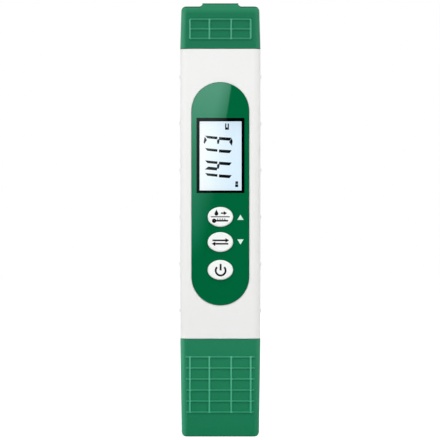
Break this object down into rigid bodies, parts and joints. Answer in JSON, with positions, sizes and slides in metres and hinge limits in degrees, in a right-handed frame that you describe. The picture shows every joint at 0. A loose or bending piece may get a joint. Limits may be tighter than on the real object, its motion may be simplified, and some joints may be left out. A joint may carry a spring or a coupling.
{
  "type": "water quality test pen",
  "caption": "Slim hand-held pen that reads water quality on a display, with push buttons, a battery cap with clip, and a cap over its probe.",
  "frame": {"origin": "centre of the flat foot of the protective cap, on which the pen stands", "axes": "+Z along the pen towards the battery cap, +X to the right seen from the display side, -Y out of the display"},
  "size_m": [0.0312, 0.0224, 0.1648],
  "materials": {
    "barrel": "satin",
    "panel": "gloss",
    "frame": "gloss",
    "window": "clear",
    "film": "satin",
    "lcd_glass": "gloss",
    "light_guide": "satin",
    "white_plastic": "satin",
    "rubber": "matte",
    "led": "gloss",
    "board": "satin",
    "screw_steel": "brushed",
    "chip": "matte",
    "capacitor": "matte",
    "contact": "plated",
    "cell": "satin",
    "cap": "satin",
    "button": "satin",
    "electrode": "graphite",
    "probe_steel": "polished",
    "sensor": "gloss"
  },
  "bodies": {
    "housing": {"front_shell": "barrel", "rear_shell": "barrel", "face_panel": "panel", "display_bezel": "frame", "display_window": "window", "display_polariser": "film", "display_glass": "lcd_glass", "backlight_panel": "light_guide", "display_holder": "white_plastic", "zebra_strip": "rubber", "backlight_led": "led", "circuit_board": "board", "board_screws": "screw_steel", "microcontroller": "chip", "crystal": "screw_steel", "chip_capacitors": "capacitor", "battery_holder": "white_plastic", "left_battery_contact": "contact", "right_battery_contact": "contact", "battery_link": "contact", "left_front_cell": "cell", "left_rear_cell": "cell", "right_front_cell": "cell", "right_rear_cell": "cell", "battery_cap_seal": "rubber", "probe_seal": "rubber", "probe_holder": "white_plastic", "left_electrode": "electrode", "right_electrode": "electrode", "temperature_probe": "probe_steel", "thermistor": "sensor", "sensor_leads": "contact", "power_switch": "chip", "mode_switch": "chip", "calibrate_switch": "chip"},
    "protective_cap": {"protective_cap": "cap"},
    "battery_cap": {"battery_cap": "cap"},
    "pocket_clip": {"pocket_clip": "cap"},
    "power_button": {"power_button": "button", "power_plunger": "white_plastic"},
    "mode_button": {"mode_button": "button", "mode_plunger": "white_plastic"},
    "calibrate_button": {"calibrate_button": "button", "calibrate_plunger": "white_plastic"}
  },
  "joints": [
    {"name": "protective_cap_pull", "type": "slide", "parent": "housing", "child": "protective_cap", "axis": [0, 0, -1], "range_m": [0, 0.06]},
    {"name": "battery_cap_pull", "type": "slide", "parent": "housing", "child": "battery_cap", "axis": [0, 0, 1], "range_m": [0, 0.04]},
    {"name": "pocket_clip_flex", "type": "hinge", "parent": "battery_cap", "child": "pocket_clip", "pos_m": [0, 0.0078, 0.163], "axis": [1, 0, 0], "range_deg": [0, 5], "stiffness_Nm_per_rad": 2.7},
    {"name": "power_button_press", "type": "slide", "parent": "housing", "child": "power_button", "axis": [0, 1, 0], "range_m": [0, 0.0005], "stiffness_N_per_m": 800, "springref_m": -0.0005},
    {"name": "mode_button_press", "type": "slide", "parent": "housing", "child": "mode_button", "axis": [0, 1, 0], "range_m": [0, 0.0005], "stiffness_N_per_m": 800, "springref_m": -0.0005},
    {"name": "calibrate_button_press", "type": "slide", "parent": "housing", "child": "calibrate_button", "axis": [0, 1, 0], "range_m": [0, 0.0005], "stiffness_N_per_m": 800, "springref_m": -0.0005}
  ]
}
